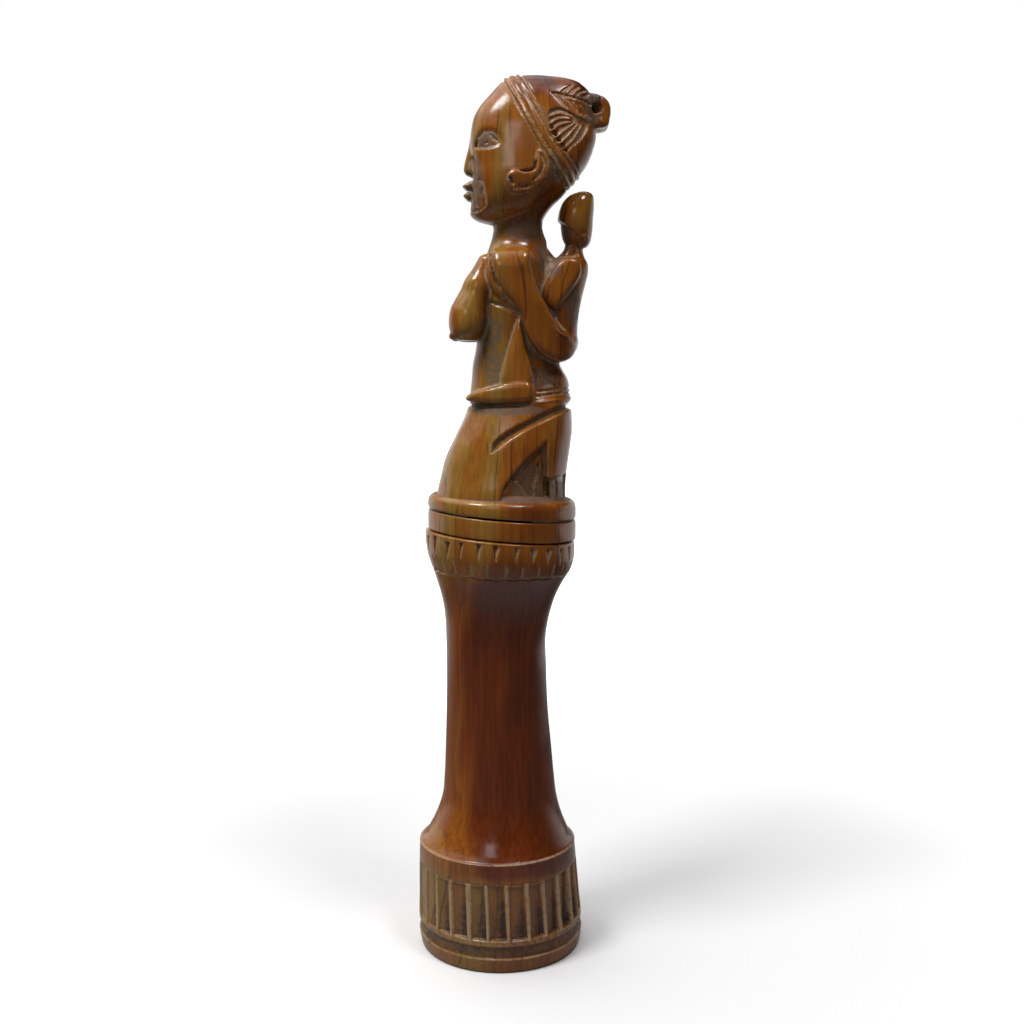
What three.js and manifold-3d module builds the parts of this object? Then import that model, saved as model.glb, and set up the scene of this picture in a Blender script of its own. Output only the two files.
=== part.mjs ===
// A carved wooden fertility doll: a kneeling mother with a child on her back, standing as the stopper
// of a waisted, bored-out container. Millimetres, +Z up. The mother faces -Y and her left side is +X.
// The origin is the centre of the foot's underside, on the axis of the bore.
import * as THREE from "three";
import { mergeVertices } from "three/addons/utils/BufferGeometryUtils.js";
import Module from "manifold-3d";

const wasm = await Module();
wasm.setup();

// ---------- driving dimensions ----------
const GAP = 0.3; // between pieces that touch
const BORE_RADIUS = 9; // one straight hole through the container and the ring
const PLUG_THICKNESS = 6;
const TENON_LENGTH = 17; // below the stopper's disc
const TENON_BEVEL = 1;
const RING_BOTTOM = 111.9; // height of the lower parting, on the axis
const RING_TOP = 117.6; // height of the upper parting, on the axis
const DISC_TOP = 122.1;
const PARTING_SLOPE = 0.08; // both partings stand higher at the front than at the back
const DISC_RADIUS = 19.55;
const DISC_SHIFT = 0.35; // the disc and the ring stand a little towards the back
const EDGE_ROUND = 0.5;
const FLUTE_COUNT = 26; // upright gouge cuts round the foot
const FLUTE_RADIUS = 2.5;
const FLUTE_DEPTH = 0.9;
const FLUTE_BOTTOM = 8.3;
const FLUTE_TOP = 23.2;
const NOTCH_COUNT = 26; // wedge cuts round the top of the container, points down
const NOTCH_HALF_WIDTH = 1.5;
const NOTCH_HEIGHT = 5;
const NOTCH_TOP = 110.8;
const HEADBAND_WIDTH = 3.4;
const HEADBAND_TILT = 0.48;
const KNOB_HOLE_RADIUS = 1.3;
const ROUND_SEGMENTS = 52;
const BORE_SEGMENTS = 36;
const LEFT_AND_RIGHT = [1, -1];

// Height, distance in front of the axis, distance behind it. The waist leans a little to the front.
const CONTAINER_OUTLINE = [
  [0, 20.6, 20.6],
  [0.6, 21.5, 21.4],
  [2, 22.1, 22],
  [5, 22.3, 21.8],
  [14, 22.3, 21.2],
  [23, 22.2, 20.4],
  [28.2, 21.8, 19.8],
  [28.9, 21.2, 19.3],
  [32, 19.4, 17.8],
  [36.5, 17.2, 16.1],
  [41, 15.8, 15],
  [46, 15.3, 14.4],
  [54.5, 14.9, 13.6],
  [63, 14.6, 12.8],
  [72, 14.5, 12.3],
  [85, 14.6, 12.2],
  [90, 14.9, 12.9],
  [95, 15.7, 14.5],
  [99.5, 17, 16.4],
  [103.8, 18.6, 18.7],
  [106, 19.4, 19.3],
  [108, 19.9, 19.6],
  [115, 19.9, 19.5],
];

// Height, front, back and half width of the carved figure's level sections.
const TRUNK = [
  [119.8, -16.9, 17.2, 17.2],
  [123, -16.6, 17.1, 17],
  [127.4, -15.8, 17.3, 16.3],
  [131.6, -14.7, 17.8, 15.5],
  [136, -12.8, 18.4, 14.7],
  [140, -10.7, 18.7, 13.8],
  [144, -8.8, 18.6, 12.8],
  [147, -8, 18.2, 11.4],
  [151, -7.5, 17.8, 10.4],
  [155, -7.2, 16.3, 9.5],
  [160, -6.3, 15.2, 9],
  [166, -5, 14.5, 9.2],
  [172, -4.5, 13.5, 10],
  [179, -4.5, 13, 10.6],
  [184, -3.5, 12.5, 9.8],
  [187, -2.6, 12, 7],
  [189, -1.9, 11.2, 5.7],
  [196, -1.9, 11.2, 5.7],
];
const HEAD = [
  [192.3, -2.4, 10.8, 5.4],
  [193.5, -5.2, 11, 6],
  [195.5, -7.3, 11.9, 6.8],
  [198, -7.4, 14, 7.7],
  [202, -7.5, 17.6, 8.7],
  [206, -7.6, 21, 9.5],
  [210, -7.7, 23.3, 10],
  [214, -7.7, 24.7, 10.1],
  [218, -7.2, 24.8, 9.8],
  [222, -5, 24.2, 9],
  [225.5, -2.1, 22.6, 7.8],
  [228.5, 0.5, 18.5, 5.8],
  [230, 3.4, 12.4, 3],
];
const CHILD_BODY = [
  [158.6, 13, 18.4, 4.5],
  [160.5, 12, 19.9, 6.2],
  [165, 11, 20.1, 6.6],
  [171, 11, 20.6, 6.4],
  [177.5, 12, 22, 6.2],
  [181.5, 12.6, 22.8, 6],
  [184, 14, 22.2, 4.6],
  [186.2, 15.8, 22.4, 3],
  [190, 15.8, 23, 3],
];
const CHILD_HEAD = [
  [188, 16.4, 22.8, 2.8],
  [190, 15.3, 23.8, 4.2],
  [193.5, 14.6, 24.1, 5],
  [197, 15.4, 24.2, 4.7],
  [199.8, 17.6, 24, 3.4],
  [201.2, 20.4, 23.4, 1.5],
];

// ---------- helpers ----------
const vector = (point) => new THREE.Vector3(...point);

function solid(geometry) {
  const bare = geometry.index ? geometry.toNonIndexed() : geometry.clone();
  bare.deleteAttribute("normal");
  bare.deleteAttribute("uv");
  const merged = mergeVertices(bare, 1e-4);
  const mesh = new wasm.Mesh({
    numProp: 3,
    vertProperties: merged.attributes.position.array,
    triVerts: new Uint32Array(merged.index.array),
  });
  return new wasm.Manifold(mesh);
}

function meshOf(name, manifold, material) {
  const { vertProperties, triVerts } = manifold.getMesh();
  const geometry = new THREE.BufferGeometry();
  geometry.setAttribute("position", new THREE.BufferAttribute(vertProperties, 3));
  geometry.setIndex(new THREE.BufferAttribute(triVerts, 1));
  geometry.computeVertexNormals();
  const mesh = new THREE.Mesh(geometry, material);
  mesh.name = name;
  return mesh;
}

const joined = (solids) => solids.reduce((whole, piece) => whole.add(piece));
const cutFrom = (whole, cutters) => cutters.reduce((left, cutter) => left.subtract(cutter), whole);

// A turned solid about +Z from points of radius and height that start and end on the axis.
function turned(points, segments = ROUND_SEGMENTS) {
  const profile = points.map(([radius, height]) => new THREE.Vector2(radius, height));
  return new THREE.LatheGeometry(profile, segments).rotateX(Math.PI / 2);
}

// A round rod on the axis, from one height to another.
function rod(radius, bottom, top, segments) {
  return solid(turned([[0, bottom], [radius, bottom], [radius, top], [0, top]], segments));
}

// A closed solid through level oval sections, each a row of height, front, back and half width.
function loft(rows, segments, swell = 0) {
  const lowest = rows[0][0];
  const highest = rows.at(-1)[0];
  const geometry = turned([[0, lowest], ...rows.map(([height]) => [1, height]), [0, highest]], segments);
  const position = geometry.attributes.position;
  for (let i = 0; i < position.count; i++) {
    const height = position.getZ(i);
    const [, front, back, half] = rows.find((row) => Math.abs(row[0] - height) < 1e-3);
    const x = position.getX(i) * (half + swell);
    const y = (front + back) / 2 + position.getY(i) * ((back - front) / 2 + swell);
    position.setXY(i, x, y);
  }
  return geometry;
}

// A limb with round ends, from one centre and radius to another.
function limb(start, startRadius, end, endRadius, segments = 12) {
  const along = vector(end).sub(vector(start));
  const length = along.length();
  const lean = Math.asin((startRadius - endRadius) / length);
  const steps = 3;
  const profile = [[0, -startRadius]];
  for (let i = 1; i <= steps; i++) {
    const angle = -Math.PI / 2 + ((Math.PI / 2 + lean) * i) / steps;
    profile.push([startRadius * Math.cos(angle), startRadius * Math.sin(angle)]);
  }
  for (let i = 0; i < steps; i++) {
    const angle = lean + ((Math.PI / 2 - lean) * i) / steps;
    profile.push([endRadius * Math.cos(angle), length + endRadius * Math.sin(angle)]);
  }
  profile.push([0, length + endRadius]);
  const turn = new THREE.Quaternion().setFromUnitVectors(new THREE.Vector3(0, 0, 1), along.normalize());
  return turned(profile, segments)
    .applyQuaternion(turn)
    .translate(...start);
}

function ellipsoid(centre, radii, tilt = 0, around = 12, down = 8) {
  return new THREE.SphereGeometry(1, around, down)
    .scale(...radii)
    .rotateX(tilt)
    .translate(...centre);
}

// A slab of everything between two parallel planes that cross the axis at the given heights.
function slopingSlab(bottom, top) {
  const side = 80;
  const slab = new THREE.BoxGeometry(side, side, top - bottom);
  slab.applyMatrix4(new THREE.Matrix4().set(1, 0, 0, 0, 0, 1, 0, 0, 0, -PARTING_SLOPE, 1, 0, 0, 0, 0, 1));
  return solid(slab.translate(0, 0, (bottom + top) / 2));
}

// ---------- container ----------
// The level section of the container at a height: how far behind the axis its centre is, and its radius.
function containerSection(height) {
  const above = CONTAINER_OUTLINE.findIndex((row) => row[0] >= height);
  const [low, high] = [CONTAINER_OUTLINE[above - 1], CONTAINER_OUTLINE[above]];
  const share = (height - low[0]) / (high[0] - low[0]);
  const front = THREE.MathUtils.lerp(low[1], high[1], share);
  const back = THREE.MathUtils.lerp(low[2], high[2], share);
  return { shift: (back - front) / 2, radius: (front + back) / 2 };
}

// A point at an angle round the container, a distance out from its surface.
function besideContainer(angle, height, out) {
  const { shift, radius } = containerSection(height);
  return [(radius + out) * Math.cos(angle), shift + (radius + out) * Math.sin(angle), height];
}

const roundTheAxis = (count) => Array.from({ length: count }, (_, i) => (2 * Math.PI * i) / count);

function flute(angle) {
  const out = FLUTE_RADIUS - FLUTE_DEPTH;
  const bottom = besideContainer(angle, FLUTE_BOTTOM + FLUTE_RADIUS, out);
  const top = besideContainer(angle, FLUTE_TOP - FLUTE_RADIUS, out);
  return solid(limb(bottom, FLUTE_RADIUS, top, FLUTE_RADIUS, 8));
}

function notch(angle) {
  const middle = NOTCH_TOP - NOTCH_HEIGHT / 2;
  const [x, y] = besideContainer(angle, middle, 0.6);
  const wedge = new THREE.ConeGeometry(NOTCH_HALF_WIDTH, NOTCH_HEIGHT, 4).rotateX(-Math.PI / 2);
  return solid(wedge.rotateZ(angle).translate(x, y, middle - PARTING_SLOPE * y));
}

function containerBody() {
  const rows = CONTAINER_OUTLINE.map(([height, front, back]) => [height, -front, back, (front + back) / 2]);
  const parting = slopingSlab(RING_BOTTOM, RING_TOP + 4);
  const bore = rod(BORE_RADIUS, -1, RING_TOP + 5, BORE_SEGMENTS);
  const carving = [...roundTheAxis(FLUTE_COUNT).map(flute), ...roundTheAxis(NOTCH_COUNT).map(notch)];
  return cutFrom(solid(loft(rows, ROUND_SEGMENTS)), [parting, bore, ...carving]);
}

function basePlug() {
  const radius = BORE_RADIUS - GAP;
  const profile = [
    [0, 0],
    [radius, 0],
    [radius, PLUG_THICKNESS - EDGE_ROUND],
    [radius - EDGE_ROUND, PLUG_THICKNESS],
    [0, PLUG_THICKNESS],
  ];
  return solid(turned(profile, BORE_SEGMENTS));
}

function collarRing() {
  const blank = rod(DISC_RADIUS, RING_BOTTOM - 5, RING_TOP + 5, ROUND_SEGMENTS).translate([0, DISC_SHIFT, 0]);
  const bore = rod(BORE_RADIUS, RING_BOTTOM - 6, RING_TOP + 6, BORE_SEGMENTS);
  return blank.subtract(bore).intersect(slopingSlab(RING_BOTTOM + GAP, RING_TOP));
}

// ---------- the stopper: disc, tenon and figure, carved in one ----------
function discAndTenon() {
  const tenonRadius = BORE_RADIUS - GAP;
  const tenonEnd = RING_TOP - TENON_LENGTH;
  const disc = turned([
    [0, RING_TOP - 4],
    [DISC_RADIUS, RING_TOP - 4],
    [DISC_RADIUS, DISC_TOP - 2 * EDGE_ROUND],
    [DISC_RADIUS - EDGE_ROUND, DISC_TOP - 0.6 * EDGE_ROUND],
    [DISC_RADIUS - 2.5 * EDGE_ROUND, DISC_TOP],
    [0, DISC_TOP],
  ]).translate(0, DISC_SHIFT, 0);
  const discSlope = 0.6 * PARTING_SLOPE;
  disc.applyMatrix4(new THREE.Matrix4().set(1, 0, 0, 0, 0, 1, 0, 0, 0, -discSlope, 1, 0, 0, 0, 0, 1));
  const tenonProfile = [
    [0, tenonEnd],
    [tenonRadius - TENON_BEVEL, tenonEnd],
    [tenonRadius, tenonEnd + TENON_BEVEL],
    [tenonRadius, DISC_TOP - 1],
    [0, DISC_TOP - 1],
  ];
  const above = slopingSlab(RING_TOP + GAP, DISC_TOP + 20);
  return solid(disc).intersect(above).add(solid(turned(tenonProfile, BORE_SEGMENTS)));
}

function motherHead() {
  const head = solid(loft(HEAD, 28));
  const slab = new THREE.BoxGeometry(60, HEADBAND_WIDTH, 60).rotateX(HEADBAND_TILT).translate(0, 8.9, 217.4);
  const headband = solid(loft(HEAD, 28, 0.55)).intersect(solid(slab));
  const knob = solid(limb([0, 17, 221.5], 6, [0, 23.6, 221.9], 4.3, 16));
  const bar = (radius, y, z) =>
    solid(new THREE.CylinderGeometry(radius, radius, 40, 10).rotateZ(Math.PI / 2).translate(0, y, z));
  const hole = bar(KNOB_HOLE_RADIUS, 24.8, 222.3);
  const face = [
    limb([0, -6.9, 212.5], 0.9, [0, -8.1, 206.6], 1.3, 10),
    ellipsoid([0, -7.4, 202.3], [2.6, 2.1, 0.9]),
    ellipsoid([0, -7.3, 199.7], [2.3, 2, 0.9]),
    ...LEFT_AND_RIGHT.flatMap((side) => [
      ellipsoid([side * 6.6, -3.4, 213.6], [1.6, 2.7, 1.7]),
      ellipsoid([side * 9, 8.6, 205.8], [1.7, 4.2, 5], 0.5),
    ]),
  ];
  return joined([head, headband, knob, ...face.map(solid)]).subtract(hole);
}

function motherBody() {
  const trunk = solid(loft(TRUNK, 30));
  const beltSlab = solid(new THREE.BoxGeometry(60, 60, 3).rotateX(-0.03).translate(0, 0, 147.6));
  const belt = solid(loft(TRUNK, 30, 0.4)).intersect(beltSlab);
  const limbs = LEFT_AND_RIGHT.flatMap((side) => [
    limb([side * 5.2, -3.6, 178.5], 3.4, [side * 6, -8.4, 167.4], 4.7),
    limb([side * 9.2, 2.2, 182.2], 4.7, [side * 10.6, 7.6, 172.2], 4.7),
    limb([side * 10.6, 7.6, 172.2], 4.7, [side * 9.2, 13, 163.6], 4.3),
    limb([side * 9.2, 13, 163.6], 4.3, [side * 5.2, 16.4, 161.6], 3.6),
  ]);
  // The carver's long cuts that part each thigh from the hip above it and the shin below it.
  const thighCuts = LEFT_AND_RIGHT.flatMap((side) => [
    limb([side * 11.8, 17.4, 144.4], 1.1, [side * 15.6, -2.6, 132.8], 0.7, 8),
    limb([side * 16.4, 10.6, 132], 2.6, [side * 18, 5, 123.6], 4.4, 12),
  ]);
  return cutFrom(joined([trunk, belt, ...limbs.map(solid)]), thighCuts.map(solid));
}

function child() {
  const body = solid(loft(CHILD_BODY, 16));
  const head = solid(loft(CHILD_HEAD, 16));
  const limbs = LEFT_AND_RIGHT.flatMap((side) => [
    limb([side * 5, 19.4, 180.6], 3, [side * 9, 12.4, 173], 1.6, 10), // arm round the mother's back
    limb([side * 9.2, 4.8, 165.4], 1.2, [side * 9.6, 4, 151.6], 3, 10), // shin at the mother's side
    limb([side * 9.8, 5.4, 149], 2.5, [side * 7.4, -6.4, 148.2], 1.6, 10), // foot along her waist
  ]);
  return joined([body, head, ...limbs.map(solid)]);
}

// ---------- the assembly ----------
const wood = (name, colour, roughness) =>
  new THREE.MeshStandardMaterial({ name, color: colour, roughness, metalness: 0 });
const polished = wood("polished wood", 0x7a3d16, 0.28);
const handled = wood("handled dark wood", 0x5a2612, 0.3);
const plain = wood("unpolished wood", 0x5f4630, 0.6);

const doll = new THREE.Group();
doll.add(meshOf("container_body", containerBody(), handled));
doll.add(meshOf("base_plug", basePlug(), plain));
doll.add(meshOf("collar_ring", collarRing(), polished));
doll.add(meshOf("figure_stopper", joined([discAndTenon(), motherBody(), motherHead(), child()]), polished));

export default doll;
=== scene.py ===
"""A carved wooden fertility doll: a kneeling mother with a child on her back stands as the stopper of a
waisted container. The figure is carved out of a block of signed distances, and the pieces below it are
turned skins with carved surfaces. Lengths in this script are millimetres, +Z up: the mother faces -Y
and her left side is +X. They become metres when a mesh is made."""

import bpy
import numpy as np
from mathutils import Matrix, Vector


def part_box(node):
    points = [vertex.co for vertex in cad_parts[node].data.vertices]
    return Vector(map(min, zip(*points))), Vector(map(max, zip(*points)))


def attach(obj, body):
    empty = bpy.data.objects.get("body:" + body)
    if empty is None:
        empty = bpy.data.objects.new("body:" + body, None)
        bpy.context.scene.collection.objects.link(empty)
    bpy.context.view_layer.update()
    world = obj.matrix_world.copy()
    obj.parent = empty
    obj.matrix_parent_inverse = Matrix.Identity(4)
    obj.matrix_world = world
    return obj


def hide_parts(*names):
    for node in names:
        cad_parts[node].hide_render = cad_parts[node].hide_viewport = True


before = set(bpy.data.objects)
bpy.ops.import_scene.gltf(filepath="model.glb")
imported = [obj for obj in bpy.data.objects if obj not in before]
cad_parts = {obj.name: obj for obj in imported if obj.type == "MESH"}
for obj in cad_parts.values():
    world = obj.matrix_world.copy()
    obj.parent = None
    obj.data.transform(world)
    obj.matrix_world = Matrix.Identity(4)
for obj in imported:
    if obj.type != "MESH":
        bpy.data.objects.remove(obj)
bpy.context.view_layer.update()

MM = 0.001
FAR = 9.0
VOXEL = 0.3  # spacing of the carved block's grid

# ---------- sizes taken from the frame ----------


def node_box(node):
    return [np.array(corner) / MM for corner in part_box(node)]


plug_high = node_box("base_plug")[1]
ring_low, ring_high = node_box("collar_ring")
BORE_CLEARANCE = 0.3
BORE_RADIUS = plug_high[0] + BORE_CLEARANCE
DISC_RADIUS = ring_high[0]
DISC_SHIFT = (ring_low[1] + ring_high[1]) / 2
PARTING_SLOPE = 0.08
RING_BOTTOM = ring_low[2] + PARTING_SLOPE * DISC_RADIUS
RING_TOP = ring_high[2] - PARTING_SLOPE * DISC_RADIUS
TENON_END = node_box("figure_stopper")[0][2]
CROWN = node_box("figure_stopper")[1][2]


# ---------- small tools ----------


def through(knots, values):
    """A smooth function of one variable through the given values, without overshoot at the ends."""
    knots = np.array(knots, float)
    values = np.array(values, float)
    slopes = np.gradient(values, knots)

    def at(t):
        t = np.clip(t, knots[0], knots[-1])
        i = np.clip(np.searchsorted(knots, t, side="right") - 1, 0, len(knots) - 2)
        width = knots[i + 1] - knots[i]
        s = (t - knots[i]) / width
        start = (1 + 2 * s) * (1 - s) ** 2 * values[i] + s * (1 - s) ** 2 * width * slopes[i]
        end = s * s * (3 - 2 * s) * values[i + 1] + s * s * (s - 1) * width * slopes[i + 1]
        return start + end

    return at


def smooth_path(points, closed=False, steps=4):
    """The points of a curve through the given points."""
    points = np.array(points, float)
    if closed:
        points = np.vstack([points[-1], points, points[:2]])
    else:
        points = np.vstack([2 * points[0] - points[1], points, 2 * points[-1] - points[-2]])
    curve = []
    for before, start, end, after in zip(points, points[1:], points[2:], points[3:]):
        for s in np.arange(steps) / steps:
            bend = (2 * before - 5 * start + 4 * end - after) * s * s
            twist = (3 * start - before - 3 * end + after) * s**3
            curve.append((2 * start + (end - before) * s + bend + twist) / 2)
    if not closed:
        curve.append(points[-2])
    return np.array(curve)


def smooth_min(a, b, blend):
    near = np.maximum(blend - np.abs(a - b), 0) / blend
    return np.minimum(a, b) - near * near * blend / 4


def smooth_max(a, b, blend):
    return -smooth_min(-a, -b, blend)


def smoothstep(low, high, value):
    t = np.clip((value - low) / (high - low), 0, 1)
    return t * t * (3 - 2 * t)


def wobble(u, v, w, seed):
    """A slow unevenness between about -1 and 1, the same on every run."""
    phases = np.random.default_rng(seed).uniform(0, 2 * np.pi, (4, 3))
    turns = ((1.0, 0.6, 0.4), (-0.5, 1.1, 0.7), (0.8, -0.7, 1.2), (1.3, 0.9, -0.6))
    total = 0
    for (a, b, c), (p, q, r) in zip(turns, phases):
        total = total + np.sin(a * u + p) * np.sin(b * v + q) * np.sin(c * w + r)
    return total / 2


# ---------- the block that the figure is carved from ----------


class Shape:
    """A solid: its lowest and highest corners, and a function that gives the distance to its surface."""

    def __init__(self, low, high, distance):
        self.low = np.array(low, float)
        self.high = np.array(high, float)
        self.distance = distance


def ellipsoid(centre, radii, tilt=0.0):
    """Tilt turns it about X, in degrees."""
    cos, sin = np.cos(np.radians(tilt)), np.sin(np.radians(tilt))
    reach = max(radii)

    def distance(x, y, z):
        u, v, w = x - centre[0], y - centre[1], z - centre[2]
        v, w = v * cos + w * sin, w * cos - v * sin
        near = np.sqrt((u / radii[0]) ** 2 + (v / radii[1]) ** 2 + (w / radii[2]) ** 2) + 1e-6
        steep = np.sqrt((u / radii[0] ** 2) ** 2 + (v / radii[1] ** 2) ** 2 + (w / radii[2] ** 2) ** 2) + 1e-6
        return near * (near - 1) / steep

    return Shape(np.array(centre) - reach, np.array(centre) + reach, distance)


def limb(start, start_radius, end, end_radius):
    start, end = np.array(start, float), np.array(end, float)
    along = end - start
    radius = max(start_radius, end_radius)

    def distance(x, y, z):
        u, v, w = x - start[0], y - start[1], z - start[2]
        t = np.clip((u * along[0] + v * along[1] + w * along[2]) / (along @ along), 0, 1)
        away = np.sqrt((u - t * along[0]) ** 2 + (v - t * along[1]) ** 2 + (w - t * along[2]) ** 2)
        return away - (start_radius + t * (end_radius - start_radius))

    return Shape(np.minimum(start, end) - radius, np.maximum(start, end) + radius, distance)


def loft(rows, end_round=1.0):
    """A solid through level sections. Each row is a height, the front, the back, half the width, and how
    square the section is: 2 is an oval, and more is squarer."""
    heights, fronts, backs, halves, powers = zip(*rows)
    columns = [through(heights, column) for column in (fronts, backs, halves, powers)]

    def distance(x, y, z):
        front, back, half, power = (column(z) for column in columns)
        middle, reach = (front + back) / 2, (back - front) / 2
        size = ((np.abs(x) / half) ** power + (np.abs(y - middle) / reach) ** power) ** (1 / power)
        slopes = np.gradient(size, VOXEL)
        wall = (size - 1) / np.maximum(np.sqrt(sum(slope**2 for slope in slopes)), 0.02)
        return smooth_max(wall, np.maximum(z - heights[-1], heights[0] - z), end_round)

    low = (-max(halves), min(fronts), heights[0])
    high = (max(halves), max(backs), heights[-1])
    return Shape(low, high, distance)


def flat_distance(outline, u, v):
    """Signed distance in a plane from a closed outline, negative inside it."""
    nearest = np.full(np.broadcast(u, v).shape, np.inf)
    inside = np.zeros(nearest.shape, bool)
    for (u0, v0), (u1, v1) in zip(outline, np.roll(outline, -1, axis=0)):
        du, dv = u1 - u0, v1 - v0
        t = np.clip(((u - u0) * du + (v - v0) * dv) / (du * du + dv * dv), 0, 1)
        nearest = np.minimum(nearest, (u - u0 - t * du) ** 2 + (v - v0 - t * dv) ** 2)
        inside ^= ((v0 > v) != (v1 > v)) & (u < u0 + (v - v0) * du / (dv or 1e-9))
    return np.where(inside, -1, 1) * np.sqrt(nearest)


def plate(points, inner, outer, edge=1.5, curved=True):
    """A solid with an outline drawn in the side view, standing out from x = inner to x = outer. Outer is a
    number or a function of y and z, and edge is how far in the rounding of its rim reaches."""
    outline = smooth_path(points, closed=True) if curved else np.array(points, float)
    top = outer if callable(outer) else lambda y, z: outer

    def distance(x, y, z):
        flat = flat_distance(outline, y, z)
        return smooth_max(smooth_max(flat, x - top(y, z), edge), inner - x, 0.5)

    (y0, z0), (y1, z1) = outline.min(0), outline.max(0)
    corners = [top(y, z) for y in (y0, y1) for z in (z0, z1)]
    return Shape((inner, y0, z0), (max(corners) + 1, y1, z1), distance)


class Block:
    """The left half of a block of wood, as distances to its surface on a grid. The right half mirrors it.
    Patches and lines are drawn in the side view, as points (y, z). They reach through the wood between two
    values of x, which the argument within gives."""

    def __init__(self, low, high, step):
        self.step = step
        self.axes = [np.arange(a + step / 2, b, step) for a, b in zip(low, high)]
        self.field = np.full([len(axis) for axis in self.axes], FAR, np.float32)

    def window(self, low, high):
        """The part of the grid between two corners, with its coordinates."""
        spans = [slice(*np.searchsorted(axis, ends)) for axis, ends in zip(self.axes, zip(low, high))]
        x, y, z = (axis[span] for axis, span in zip(self.axes, spans))
        return tuple(spans), x[:, None, None], y[None, :, None], z[None, None, :]

    def add(self, shape, blend=0.5):
        part, x, y, z = self.window(shape.low - blend - 1, shape.high + blend + 1)
        self.field[part] = smooth_min(self.field[part], shape.distance(x, y, z), blend)

    def cut(self, shape, blend=0.3):
        part, x, y, z = self.window(shape.low - blend - 1, shape.high + blend + 1)
        self.field[part] = smooth_max(self.field[part], -shape.distance(x, y, z), blend)

    def drawn(self, points, margin, within):
        """The window under something drawn in the side view, with its y and z."""
        low, high = np.min(points, 0) - margin, np.max(points, 0) + margin
        part, x, y, z = self.window((within[0], *low), (within[1], *high))
        return part, y, z

    def patch(self, points, height, edge=0.3, within=(0, 40), curved=True):
        """Raises the surface inside an outline by a height, or sinks it where the height is negative."""
        outline = smooth_path(points, closed=True) if curved else np.array(points, float)
        part, y, z = self.drawn(outline, abs(height) + edge + 1, within)
        flat = flat_distance(outline, y, z)
        here = self.field[part]
        if height > 0:
            self.field[part] = smooth_min(here, smooth_max(here - height, flat, edge), edge)
        else:
            self.field[part] = smooth_max(here, smooth_min(here - height, -flat, edge), edge)

    def line(self, points, width, height, taper=(0, 0), within=(0, 40), soften=0.12):
        """A V cut along a path where the height is negative, or a ridge where it isn't. Taper says how wide
        each end is, as a share of the width."""
        path = smooth_path(points)
        part, u, v = self.drawn(path, width + 1, within)
        along = np.linspace(0, 1, len(path))
        halves = width / 2 * np.minimum(1, np.minimum(taper[0] + 4 * along, taper[1] + 4 * (1 - along)))
        room, half = np.full(np.broadcast(u, v).shape, -np.inf), 0
        for (u0, v0), (u1, v1), h0, h1 in zip(path, path[1:], halves, halves[1:]):
            du, dv = u1 - u0, v1 - v0
            t = np.clip(((u - u0) * du + (v - v0) * dv) / (du * du + dv * dv), 0, 1)
            here = h0 + t * (h1 - h0)
            gain = here - np.hypot(u - u0 - t * du, v - v0 - t * dv)
            half = np.where(gain > room, here, half)
            room = np.maximum(room, gain)
        surface = self.field[part]
        steep = np.hypot(1, width / 2 / height)
        if height < 0:
            self.field[part] = smooth_max(surface, (room - half * surface / height) / steep, soften)
        else:
            self.field[part] = smooth_min(surface, (half * surface / height - room) / steep, soften)


# ---------- the mother's body ----------
# Rows hold height, front, back, half width and squareness.
TRUNK = (
    (120.5, -17.0, 17.2, 17.4, 2.2),
    (124.0, -16.6, 17.1, 17.0, 2.2),
    (127.4, -15.8, 17.3, 16.3, 2.2),
    (131.6, -14.7, 17.8, 15.5, 2.3),
    (136.0, -12.8, 18.4, 14.8, 2.4),
    (140.0, -10.8, 18.7, 13.9, 2.4),
    (144.0, -9.0, 18.6, 12.7, 2.4),
    (146.5, -8.2, 18.4, 11.9, 2.4),
    (149.0, -7.9, 18.2, 10.9, 2.3),
    (152.7, -7.5, 17.7, 10.2, 2.3),
    (156.8, -7.2, 15.6, 9.7, 2.2),
    (160.0, -6.6, 14.8, 9.4, 2.2),
    (164.0, -6.0, 14.4, 9.4, 2.2),
    (168.0, -5.5, 14.0, 9.8, 2.2),
    (172.0, -5.2, 13.4, 10.3, 2.2),
    (176.0, -5.0, 12.8, 10.8, 2.2),
    (180.0, -4.7, 12.2, 10.8, 2.2),
    (183.0, -4.2, 11.8, 9.8, 2.2),
    (185.5, -3.4, 11.3, 7.6, 2.1),
    (187.8, -2.6, 11.0, 6.0, 2.0),
    (190.8, -1.9, 10.8, 5.6, 2.0),
    (196.0, -1.9, 10.8, 5.5, 2.0),
    (199.0, 0.0, 10.8, 5.0, 2.0),
)
# Outline of shoulder, upper arm and hand in the side view.
ARM = (
    (-2.2, 183.6),
    (-1.5, 185.7),
    (2.6, 186.4),
    (6.6, 186.2),
    (7.8, 184.6),
    (7.8, 181.0),
    (9.3, 175.8),
    (11.6, 172.0),
    (13.9, 168.2),
    (15.8, 165.6),
    (18.6, 163.6),
    (19.6, 161.0),
    (18.2, 158.4),
    (14.6, 157.2),
    (11.0, 158.6),
    (8.0, 161.8),
    (6.2, 165.9),
    (5.2, 169.2),
    (3.4, 172.0),
    (1.3, 174.4),
    (-0.9, 177.6),
    (-2.0, 181.0),
)
# The flesh and cloth between her back and the child: rows as in TRUNK.
WEB = (
    (160.0, 8.0, 16.0, 5.0, 2.0),
    (172.0, 8.0, 16.4, 5.5, 2.0),
    (178.0, 8.0, 16.4, 5.0, 2.0),
    (182.0, 8.0, 16.0, 4.4, 2.0),
    (184.4, 7.0, 15.0, 4.0, 2.0),
    (186.2, 6.0, 13.6, 3.8, 2.0),
    (188.2, 5.0, 12.2, 3.9, 2.0),
    (191.0, 4.0, 10.8, 4.4, 2.0),
)


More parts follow.
